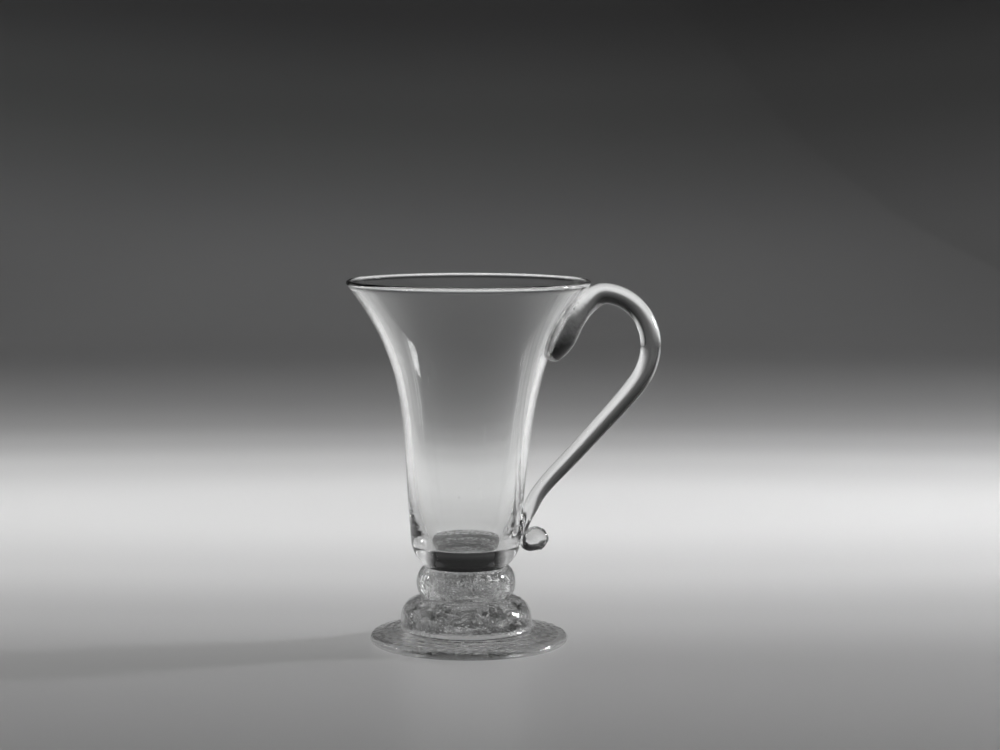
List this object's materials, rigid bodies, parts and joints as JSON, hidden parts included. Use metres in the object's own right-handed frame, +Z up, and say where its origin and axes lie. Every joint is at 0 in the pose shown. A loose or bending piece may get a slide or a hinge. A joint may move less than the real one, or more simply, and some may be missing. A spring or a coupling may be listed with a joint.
{
  "type": "jelly glass",
  "caption": "Handled jelly glass with a flared bell bowl on a solid base, a knop with trapped air beads, a domed foot and a drawn handle with a curled tail.",
  "frame": {"origin": "on the table, at the centre of the ring that the foot rests on, under the axis of the bowl", "axes": "+Z up along the axis of the glass, +X towards the handle, +Y away from the viewer of the picture"},
  "size_m": [0.0966, 0.0748, 0.112],
  "materials": {
    "clear_glass": "fire-polished clear glass with faint striae",
    "beaded_glass": "clear glass full of small trapped air beads",
    "broken_glass": "rough, snapped-off clear glass"
  },
  "bodies": {
    "root": {"bowl": "clear_glass", "knop_core": "beaded_glass", "knop_cover": "clear_glass", "foot": "clear_glass", "pontil_scar": "broken_glass", "handle": "clear_glass"}
  },
  "joints": []
}
